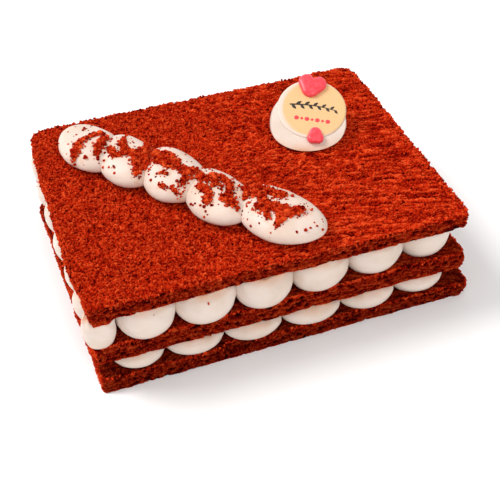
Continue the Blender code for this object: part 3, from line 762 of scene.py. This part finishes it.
# Red crumbs: torn bits of the sponge, dusted over the mounds in drifts, with stray specks beside them.
# Each drift is a band: half its width, then its way in plan.
crumbs = {
    "seed": 5, "size": (0.25, 1.0), "lump": (1.0, 1.6), "lumpShare": 0.12,
    "perArea": 2.8, "endArea": 1.5, "spread": 1.6,
    "fullHalf": 1.8, "thinning": 1.5,  # a drift with less than this half width is also a loose one
    "scatter": 0.6, "fineScatter": 0.7, "fineBelow": 0.8,  # the finest fly farthest
    "sunk": 0.2, "pile": 1.2,  # how far a crumb stands in the cream, or up on others, in its own radii
    "stretch": (0.65, 1.25), "knobs": (0.75, 1.3), "paintedKnobShade": 0.8,
    "creamHeights": (0.25, 0.8), "sheetHeights": (0.2, 0.65),  # of the grain, which sets the tone
    # the real crumb dust around the drifts, which shares the cream's darkening with painted shade
    "dustAndShade": {"reach": 1.7, "speckle": (1.6, 0.8), "bare": 0.4, "strength": 0.62, "above": 3.0},
    "drifts": (
        (0.8, ((28.5, 124.0),)), (1.0, ((37.5, 116.0), (30.5, 114.5), (25.5, 113.0))),
        (1.6, ((25.5, 113.0), (22.0, 111.0), (20.5, 107.5), (17.5, 105.5))),
        (1.4, ((39.5, 112.5), (34.0, 108.5), (31.5, 104.0), (29.5, 100.5))),
        (0.5, ((22.0, 101.5), (24.5, 101.0))),
        (1.5, ((47.0, 107.5), (45.0, 100.5), (45.5, 94.5))),
        (1.3, ((37.0, 102.5), (39.0, 95.0), (45.5, 94.5))),
        (1.8, ((45.5, 94.5), (49.5, 90.5), (55.5, 93.5), (58.5, 97.0))),
        (1.6, ((49.5, 90.5), (48.0, 85.5), (49.0, 82.0), (47.0, 79.0))),
        (1.3, ((55.5, 93.5), (54.0, 86.0), (52.0, 80.0))), (0.6, ((33.0, 95.5),)), (0.6, ((36.0, 87.0),)),
        (1.7, ((59.5, 90.5), (62.0, 83.5), (66.0, 85.0))), (1.8, ((59.0, 82.5), (62.5, 77.5), (65.5, 73.5))),
        (1.6, ((67.0, 84.5), (67.0, 76.5), (68.5, 71.0), (72.0, 67.0))),
        (1.4, ((72.0, 67.0), (68.5, 63.0), (66.5, 60.5))), (1.1, ((72.0, 67.0), (77.5, 68.5))),
        (0.7, ((56.0, 72.0), (62.0, 68.0))), (0.8, ((55.5, 64.0), (61.5, 59.0), (64.5, 55.5))),
        (1.7, ((75.5, 64.5), (78.5, 59.5), (83.5, 60.0), (87.5, 57.0), (89.5, 51.0))),
        (1.6, ((74.5, 55.5), (77.0, 51.0), (76.5, 46.0), (74.5, 42.5))), (1.6, ((83.0, 58.5), (82.5, 51.5))),
        (1.4, ((89.5, 49.5), (86.0, 41.5), (87.5, 35.5))), (1.0, ((83.0, 44.0), (84.0, 38.0))),
        (1.7, ((95.5, 47.0), (101.0, 45.5), (105.0, 38.0), (109.0, 34.5), (113.0, 30.5))),
        (1.7, ((94.5, 41.0), (97.5, 42.0), (100.5, 37.0))),
        (1.8, ((96.5, 28.0), (102.0, 27.0), (106.5, 22.5), (110.5, 19.0), (118.0, 18.0))),
        (1.9, ((101.5, 35.0), (102.0, 27.0))), (1.4, ((106.5, 22.5), (105.5, 16.5), (102.0, 14.0))),
        (1.0, ((101.0, 26.5), (99.0, 19.0))), (1.1, ((113.5, 17.5), (107.0, 17.0))),
    ),
    "strays": (30, 26, 52, 44, 54), "straySize": (0.4, 0.95), "strayBand": (15, 80),
    "onBalls": ((59.9, -2.7, 48.3, 0.85), (32.6, -1.6, 49.1, 0.3)),  # on the piped front, with radii
    "onSheet": 2400, "sheetSize": (0.3, 0.75), "sheetArea": ((3, 202), (2, 149)), "sheetLift": 0.6,
    "onRim": 700, "rimSize": (0.5, 1.0), "rimInwards": (-0.3, 0.9),
    "rimTop": 0.2, "rimDrop": 0.5, "rimPower": 3, "rimLowest": 0.6,  # most stick near the upper edge
}


def bandParts():
    # every straight stretch of the drifts, with half its width
    for half, path in crumbs["drifts"]:
        for start, end in zip(path, path[1:] or path):
            yield half * crumbs["spread"], np.array(start), np.array(end)


def moundHeight(x, y):
    # height of the highest mound over a place in plan, or None beside them
    best = None
    for mound in mounds["list"]:
        heading = math.radians(-mound["heading"])
        dx, dy = x - mound["x"], y - mound["y"]
        u = dx * math.cos(heading) - dy * math.sin(heading)
        v = dx * math.sin(heading) + dy * math.cos(heading)
        away = math.hypot(u / mound["long"], v / mound["wide"])
        away /= 1 + mound["lobe"] * math.cos(3 * (math.atan2(v, u) - math.radians(mound["lobeAt"])))
        if away < 1:
            tuck = mound["high"] * mounds["tuck"]
            z = moundBase + tuck + (mound["high"] - tuck) * math.sqrt(1 - away ** (2 / mounds["full"]))
            z += moundSwell(Vector((x, y, z))) * mounds["swellUp"]
            best = z if best is None else max(best, z)
    return best


def dustAt(points):
    # how strongly the finest dust stains the cream, strongest in the middle of a drift
    dustAndShade = crumbs["dustAndShade"]
    darkening = np.zeros(len(points))
    for half, start, end in bandParts():
        way = end - start
        share = np.clip((points[:, :2] - start) @ way / max(1e-6, way @ way), 0, 1)
        away = np.linalg.norm(points[:, :2] - start - share[:, None] * way, axis=1)
        darkening = np.maximum(darkening, np.exp(-(away / (half * dustAndShade["reach"])) ** 2))
    speckle = patchy(points, *dustAndShade["speckle"]) - dustAndShade["bare"]
    return np.clip(darkening * speckle, 0, 1) * dustAndShade["strength"] * (points[:, 2] > moundBase + dustAndShade["above"])


for number, mound in enumerate(mounds["list"], 1):
    piece = moundMesh(f"creamMound{number}", mound)
    if number < len(mounds["list"]):
        cutter = moundMesh("cutter", mounds["list"][number], grow=mounds["grow"])
        combine(piece, [cutter], "DIFFERENCE")
    shadeSoft(piece, mounds["sharpFrom"])
    skin = skinPoints(piece)
    # real crumb dust around the drifts, painted shade at the foot, and a little painted shade over all of
    # the mound
    darkening = np.maximum(dustAt(skin), paintedFootShade(skin, moundBase))
    setAttribute(piece, "dustAndShade", np.maximum(darkening, frosting["paintedMoundShade"]))
    place(piece, [f"dollop_{number}"])
print("mounds laid")


def crumbMesh(name, middles, radii, heights, draw):
    # knobbly bits, each an icosahedron with uneven corners and its own tone, with a painted highlight on the
    # corners that stand out and painted shade on those that sink in
    work = bmesh.new()
    bmesh.ops.create_icosphere(work, subdivisions=1, radius=1.0)
    ball = np.array([v.co for v in work.verts])
    faces = np.array([[v.index for v in face.verts] for face in work.faces])
    work.free()
    rough = np.random.default_rng(draw.randrange(10**6))
    count = len(middles)
    stretch = rough.uniform(*crumbs["stretch"], (count, 1, 3))
    knobs = rough.uniform(*crumbs["knobs"], (count, len(ball), 1))
    radii = np.asarray(radii)[:, None, None]
    points = np.asarray(middles)[:, None, :] + ball[None] * stretch * knobs * radii
    offsets = (np.arange(count) * len(ball))[:, None, None]
    piece = newPiece(name, points.reshape(-1, 3), (faces[None] + offsets).reshape(-1, 3).tolist(),
                     spongeMaterial, smooth=False)
    height = np.repeat(rough.uniform(*heights, count), len(ball))
    # painted highlight on proud corners, painted shade on sunken ones
    height += (knobs.reshape(-1) - 1.0) * crumbs["paintedKnobShade"]
    setAttribute(piece, "crumb", np.clip(height, 0, 1))
    setAttribute(piece, "tone", np.ones(len(height)))
    place(piece)
    print(name, len(piece.data.polygons), "faces")


def crumbsOnCream():
    draw = random.Random(crumbs["seed"])
    middles, radii = [], []
    for half, start, end in bandParts():
        area = 2 * half * np.linalg.norm(end - start) + crumbs["endArea"] * half * half
        thin = min(1.0, (half / crumbs["fullHalf"]) ** crumbs["thinning"])
        for k in range(round(area * crumbs["perArea"] * thin)):
            radius = draw.uniform(*crumbs["lump" if draw.random() < crumbs["lumpShare"] else "size"])
            fine = max(0.0, crumbs["fineBelow"] - radius)
            away = half * abs(draw.gauss(0, crumbs["scatter"] + crumbs["fineScatter"] * fine))
            turn = draw.uniform(0, math.tau)
            x, y = start + (end - start) * draw.random() + away * np.array((math.cos(turn), math.sin(turn)))
            z = moundHeight(x, y)
            if z is None:
                continue
            pile = max(0.0, 1 - away / half) * draw.random() * crumbs["pile"]
            middles.append((x, y, z + radius * (crumbs["sunk"] + pile)))
            radii.append(radius)
    for mound, count in zip(mounds["list"], crumbs["strays"]):
        for k in range(count):
            p = moundPoint(mound, draw.uniform(0, 360), draw.uniform(*crumbs["strayBand"]))
            radii.append(draw.uniform(*crumbs["straySize"]))
            middles.append((p.x, p.y, moundHeight(p.x, p.y) or p.z))
    for *at, radius in crumbs["onBalls"]:
        middles.append(tuple(at))
        radii.append(radius)
    crumbMesh("crumbsOnCream", middles, radii, crumbs["creamHeights"], draw)


def crumbsOnSponge():
    # loose bits lie on the top and stand out along the broken edges
    draw = random.Random(crumbs["seed"] + 1)
    middles, radii = [], []
    while len(middles) < crumbs["onSheet"]:
        x, y = (draw.uniform(*span) for span in crumbs["sheetArea"])
        if moundHeight(x, y) is None:
            radius = draw.uniform(*crumbs["sheetSize"])
            middles.append((x, y, topOfCake - sheets["dip"] / 2 + radius * crumbs["sheetLift"]))
            radii.append(radius)
    crumbMesh("looseCrumbsOnTop", middles, radii, crumbs["sheetHeights"], draw)
    middles, radii = [], []
    for rim, low, high in sheetRims:
        for k in range(crumbs["onRim"]):
            p = rim[draw.randrange(len(rim))]
            radii.append(draw.uniform(*crumbs["rimSize"]))
            inwards = (cakeMiddle - p)[:2]
            x, y = p[:2] + inwards * draw.uniform(*crumbs["rimInwards"]) / np.linalg.norm(inwards)
            tall = high - max(low, crumbs["rimLowest"])
            drop = draw.random() ** crumbs["rimPower"] * tall * crumbs["rimDrop"]
            middles.append((x, y, high - crumbs["rimTop"] - drop))
    crumbMesh("looseCrumbsOnEdges", middles, radii, crumbs["sheetHeights"], draw)


crumbsOnCream()
crumbsOnSponge()


# Plaque: a flat mound, cream squeezed up around a tilted disc of icing, and two moulded hearts.
plaque = {
    "disc": {"x": 155.6, "y": 99.0, "z": 74.4, "radius": 19.9, "thick": 2.8, "tilt": 21.9, "towards": -107.0,
             "round": 1.1, "sides": 160, "edgeRings": 6, "faceRings": 14, "sharpFrom": 50},
    # the cream that the disc squeezes out around it, from -end to end in degrees
    "collar": {"radius": 19.4, "halfThick": 5.0, "down": 5.0, "sides": 96, "rings": 24, "end": 84},
    # the cream around the disc: how far below its face, from where on and how far it falls away
    "seat": {"depth": 0.7, "radius": 18.5, "reach": 36.0, "fall": 5.0, "power": 2.4, "rings": 20},
    # a round yellow face on a paler disc, a little off its middle
    "print": {"x": 1.4, "y": -0.2, "radius": 18.5, "soft": 0.8},
    "uneven": 0.6, "paintedFootShade": 2.3,  # shares of what a cream mound has
    "sharpFrom": 40,
}
# Hearts: two round lobes drawn out to a round tip, with a cleft between the lobes.
hearts = {
    "heart_large": {"at": (1.6, 16.8), "apart": 3.1, "lobe": 5.1, "length": 4.6, "tip": 5.1,
                    "cleft": 2.2, "cleftHalf": 3.4, "thick": 2.8, "turn": -19.0},
    "heart_small": {"at": (0.5, -20.3), "apart": 1.3, "lobe": 3.4, "length": 3.5, "tip": 3.4,
                    "cleft": 0.3, "cleftHalf": 2.0, "thick": 2.4, "turn": 176.0},
}
heartLook = {
    "sides": 120, "bridge": 20, "levels": 18, "cleftPower": 1.4,
    "foot": -20, "crown": 88, "full": 0.7,  # the dome's profile, from angle to angle
    "paleShare": 0.6, "paleFrom": 0.62,
}
# Ornament: a dark sprig with leaves to either side in turn, and a row of red dots below it.
icing = {
    "start": (-12.4, 3.4), "end": (14.2, -2.4), "bow": 1.3, "stroke": 0.5, "strokeTip": 0.4, "stemSteps": 60,
    "leaves": 11, "leaf": 4.0, "leafHalf": 0.85, "leafTip": 0.1, "leafSteps": 12,
    "leafFrom": 0.4, "lean": 1.1, "shrink": 0.3,
    "sides": 10, "high": 0.28, "sunk": 0.05,
    "dotStart": (-9.2, -5.8), "dotEnd": (8.4, -9.4), "dots": 7, "dotRadius": (1.4, 0.85),
    "dotHigh": 0.4, "dotSides": 28, "dotRings": 7, "dotTop": 85,
}


def discMatrix():
    disc = plaque["disc"]
    tilt, towards = math.radians(disc["tilt"]), math.radians(disc["towards"])
    up = Vector((math.sin(tilt) * math.cos(towards), math.sin(tilt) * math.sin(towards), math.cos(tilt)))
    across = Vector((0, 0, 1)).cross(up).normalized()
    return Matrix.Translation((disc["x"], disc["y"], disc["z"])) @ Matrix(
        (across, up.cross(across), up)).transposed().to_4x4()


discPlane = discMatrix()


def discRing(radius, z, sides):
    angles = [math.tau * i / sides for i in range(sides)]
    return np.array([discPlane @ Vector((radius * math.cos(a), radius * math.sin(a), z)) for a in angles])


def discMesh(name, material, grow=0.0):
    # a flat disc with its lower and its upper edge rounded
    disc = plaque["disc"]
    curve = disc["round"]
    inner, under = disc["radius"] + grow - curve, -disc["thick"] - grow
    turns = [math.pi / 2 * k / disc["edgeRings"] for k in range(disc["edgeRings"] + 1)]
    profile = [(inner + curve * math.sin(a), under + curve * (1 - math.cos(a))) for a in turns]
    profile += [(inner + curve * math.cos(a), grow - curve + curve * math.sin(a)) for a in turns]
    profile += [(inner * (1 - k / disc["faceRings"]), grow) for k in range(1, disc["faceRings"])]
    rings = [discRing(radius, z, disc["sides"]) for radius, z in profile]
    return newPiece(name, *closedLoft(rings), material)


def printEdge(piece):
    # pale outside the round yellow face, and on the disc's side
    face = plaque["print"]
    back = discPlane.inverted()
    values = []
    for point in skinPoints(piece):
        p = back @ Vector(point)
        away = math.hypot(p.x - face["x"], p.y - face["y"]) - face["radius"]
        values.append(min(1.0, max(0.0, 0.5 + away / face["soft"])))
    setAttribute(piece, "pale", values)


def collarRings():
    collar = plaque["collar"]
    rings = []
    for k in range(collar["rings"] + 1):
        tip = math.radians(collar["end"] * (2 * k / collar["rings"] - 1))
        z = collar["halfThick"] * math.sin(tip) - collar["down"]
        rings.append(discRing(collar["radius"] * math.cos(tip), z, collar["sides"]))
    return rings


def seatRings():
    # what is cut off over the cream, from the disc's edge outwards and down
    seat, sides = plaque["seat"], plaque["collar"]["sides"]
    rings = []
    for k in range(seat["rings"] + 1):
        share = k / seat["rings"]
        radius = seat["radius"] + (seat["reach"] - seat["radius"]) * share
        rings.append(discRing(radius, -seat["depth"] - seat["fall"] * share ** seat["power"], sides))
    rings.append(discRing(seat["reach"], seat["reach"], sides))
    return rings


def plaqueCream():
    piece = moundMesh("plaqueCream", mounds["plaque"], uneven=plaque["uneven"])
    combine(piece, [newPiece("collar", *closedLoft(collarRings()), frostingMaterial)], "UNION")
    combine(piece, [newPiece("cutter", *closedLoft(seatRings()), frostingMaterial)], "DIFFERENCE")
    combine(piece, [discMesh("cutter", frostingMaterial, grow=mounds["grow"])], "DIFFERENCE")
    shadeSoft(piece, plaque["sharpFrom"])
    # painted shade at the foot, stronger than on a cream mound
    setAttribute(piece, "dustAndShade", paintedFootShade(skinPoints(piece), moundBase, plaque["paintedFootShade"]))
    place(piece, ["plaque_cream"])


def heartOutline(heart, inset):
    # shrunk by the inset, each lobe about its own middle, so that the cleft stays
    turn = Matrix.Rotation(math.radians(heart["turn"]), 2)
    apart, lobe = heart["apart"], heart["lobe"] - inset
    circles = ((-apart, 0.0, lobe), (apart, 0.0, lobe), (0.0, -heart["length"], heart["tip"] - inset))
    half = heartLook["bridge"] // 2
    outline = [Vector((apart * (k / half - 1), lobe)) for k in range(1, 2 * half)]
    for i in range(heartLook["sides"]):
        angle = math.pi / 2 - math.tau * (i + 0.5) / heartLook["sides"]
        out = Vector((math.cos(angle), math.sin(angle)))
        x, y, radius = max(circles, key=lambda circle: Vector(circle[:2]).dot(out) + circle[2])
        outline.append(Vector((x, y)) + out * radius)
    for p in outline:
        if p.y > 0:
            near = max(0.0, 1 - abs(p.x) / heart["cleftHalf"])
            p.y -= heart["cleft"] * near ** heartLook["cleftPower"]
    return [turn @ p + Vector(heart["at"]) for p in outline]


def heartMesh(node, material):
    heart = hearts[node]
    foot, crown = math.radians(heartLook["foot"]), math.radians(heartLook["crown"])
    rings, paleness = [], []
    for k in range(heartLook["levels"] + 1):
        angle = foot + (crown - foot) * k / heartLook["levels"]
        size = math.cos(angle) ** heartLook["full"]
        z = gap + heart["thick"] * (math.sin(angle) - math.sin(foot)) / (1 - math.sin(foot))
        outline = heartOutline(heart, (1 - size) * heart["lobe"])
        rings.append(np.array([discPlane @ Vector((p.x, p.y, z)) for p in outline]))
        # painted highlight: paler towards the far rim, on the outer part of the dome
        thin = max(0.0, size - heartLook["paleFrom"]) / (1 - heartLook["paleFrom"])
        far = [max(0.0, (p.y - heart["at"][1]) / heart["lobe"]) for p in outline]
        paleness.append([heartLook["paleShare"] * f * thin for f in far])
    rings[0] = rings[0] + np.array(discPlane.to_3x3() @ Vector((0, 0, -gap)))
    piece = newPiece(node.replace("_", "Fondant"), *closedLoft(rings), material)
    setAttribute(piece, "pale", np.clip(np.concatenate(paleness), 0, 1))
    place(piece, [node])


def icingStroke(path, widths):
    # a flattened thread of icing laid on the disc
    rings = []
    for i, (x, y) in enumerate(path):
        before, after = path[max(i - 1, 0)], path[min(i + 1, len(path) - 1)]
        along = Vector((after[0] - before[0], after[1] - before[1])).normalized()
        across = Vector((-along.y, along.x))
        ring = []
        for k in range(icing["sides"]):
            a = math.tau * k / icing["sides"]
            flat = across * widths[i] * math.cos(a)
            z = max(-icing["sunk"], icing["high"] * math.sin(a))
            ring.append(discPlane @ Vector((x + flat.x, y + flat.y, z)))
        rings.append(np.array(ring))
    return closedLoft(rings)


def joinShapes(shapes):
    points, faces, first = [], [], 0
    for shapePoints, shapeFaces in shapes:
        points.append(shapePoints)
        faces += [tuple(i + first for i in face) for face in shapeFaces]
        first += len(shapePoints)
    return np.concatenate(points), faces


def stemAt(share):
    # a place on the bowed stem
    start, end = Vector(icing["start"]), Vector(icing["end"])
    along = (end - start).normalized()
    return start.lerp(end, share) + Vector((-along.y, along.x)) * icing["bow"] * math.sin(math.pi * share)


def sprig(material):
    # a stem and its leaves, both smaller towards the tip
    along = (Vector(icing["end"]) - Vector(icing["start"])).normalized()
    up = Vector((-along.y, along.x))
    shares = [k / icing["stemSteps"] for k in range(icing["stemSteps"] + 1)]
    widths = [icing["stroke"] * (1 - (1 - icing["strokeTip"]) * share) for share in shares]
    shapes = [icingStroke([tuple(stemAt(share)) for share in shares], widths)]
    steps = [j / icing["leafSteps"] for j in range(icing["leafSteps"] + 1)]
    for k in range(icing["leaves"]):
        share = (k + icing["leafFrom"]) / icing["leaves"]
        root, size = stemAt(share), 1.0 - icing["shrink"] * share
        way = along * icing["lean"] + up * (1 if k % 2 else -1)
        tip = root + way.normalized() * icing["leaf"] * size
        widths = [icing["leafTip"] + icing["leafHalf"] * size * math.sin(math.pi * j) for j in steps]
        shapes.append(icingStroke([tuple(root.lerp(tip, j)) for j in steps], widths))
    place(newPiece("icingSprig", *joinShapes(shapes), material))


def dotRow(material):
    # flattened domes, large and small by turns
    start, end = Vector(icing["dotStart"]), Vector(icing["dotEnd"])
    turns = [math.tau * i / icing["dotSides"] for i in range(icing["dotSides"])]
    shapes = []
    for k in range(icing["dots"]):
        middle = start.lerp(end, k / (icing["dots"] - 1))
        rings = []
        for j in range(icing["dotRings"] + 1):
            tip = math.radians(icing["dotTop"] * j / icing["dotRings"])
            radius = icing["dotRadius"][k % 2] * math.cos(tip)
            z = icing["dotHigh"] * math.sin(tip) - icing["sunk"]
            rings.append(np.array([
                discPlane @ Vector((middle.x + radius * math.cos(a), middle.y + radius * math.sin(a), z))
                for a in turns]))
        shapes.append(closedLoft(rings))
    place(newPiece("icingDots", *joinShapes(shapes), material))


plaqueCream()
disc = discMesh("plaqueDiscIcing", makeFondantMaterial("sugarPasteRolled"))
shadeSoft(disc, plaque["disc"]["sharpFrom"])
printEdge(disc)
place(disc, ["plaque_disc"])
heartMaterial = makeFondantMaterial("sugarPasteMoulded")
for node in hearts:
    heartMesh(node, heartMaterial)
sprig(makeFondantMaterial("cocoaIcingDrawn"))
dotRow(makeFondantMaterial("redIcingDrawn"))
print("plaque set")


# Floor, light and camera.
studio = {
    "floor": "#fbfaf9", "floorSize": 6.0, "floorRoughness": 0.9, "floorSpecular": 0.1, "sky": 0.6,
    "lights": {
        "keyLight": {"power": 57.0, "size": 1.3, "from": (-1.5, 0.9, 2.1)},
        "fillLight": {"power": 15.5, "size": 1.0, "from": (0.3, -1.6, 1.7)},
    },
}
lens = {  # the place in metres of the frame, the angles in degrees
    "focal": 64.56, "sensor": 36.0, "place": (-0.12312, -0.36691, 0.37216),
    "pitchDown": 43.797, "heading": 19.143, "roll": -0.6245,
}


def makeFloor():
    half = studio["floorSize"] / 2
    corners = [(-half, -half, 0), (half, -half, 0), (half, half, 0), (-half, half, 0)]
    mesh = bpy.data.meshes.new("floor")
    mesh.from_pydata(corners, [], [(0, 1, 2, 3)])
    material, tree, shader = newMaterial("matteStudioFloor")
    shader.inputs["Base Color"].default_value = linear(studio["floor"])
    shader.inputs["Roughness"].default_value = studio["floorRoughness"]
    shader.inputs["Specular IOR Level"].default_value = studio["floorSpecular"]
    mesh.materials.append(material)
    floor = bpy.data.objects.new("floor", mesh)
    scene.collection.objects.link(floor)


def makeLight(name):
    plan = studio["lights"][name]
    data = bpy.data.lights.new(name, "AREA")
    data.energy = plan["power"]
    data.shape = "DISK"
    data.size = plan["size"]
    light = bpy.data.objects.new(name, data)
    light.location = plan["from"]
    light.rotation_euler = (-Vector(plan["from"])).to_track_quat("-Z", "Y").to_euler()
    scene.collection.objects.link(light)


def makeCamera():
    pitch, heading, roll = (math.radians(lens[key]) for key in ("pitchDown", "heading", "roll"))
    ahead = Vector((math.sin(heading), math.cos(heading), 0.0))
    level = Vector((math.cos(heading), -math.sin(heading), 0.0))
    forward = ahead * math.cos(pitch) + Vector((0.0, 0.0, -math.sin(pitch)))
    upright = level.cross(forward)
    right = level * math.cos(roll) + upright * math.sin(roll)
    up = -level * math.sin(roll) + upright * math.cos(roll)
    data = bpy.data.cameras.new("camera")
    data.lens = lens["focal"]
    data.sensor_width = lens["sensor"]
    camera = bpy.data.objects.new("camera", data)
    turned = Matrix((right, up, -forward)).transposed().to_4x4()
    camera.matrix_world = Matrix.Translation(lens["place"]) @ turned
    scene.collection.objects.link(camera)
    scene.camera = camera


makeFloor()
for name in studio["lights"]:
    makeLight(name)
world = bpy.data.worlds.new("studio")
world.use_nodes = True
world.node_tree.nodes["Background"].inputs["Color"].default_value = (1.0, 1.0, 1.0, 1.0)
world.node_tree.nodes["Background"].inputs["Strength"].default_value = studio["sky"]
scene.world = world
scene.view_settings.view_transform = "Standard"
makeCamera()
print("studio lit")
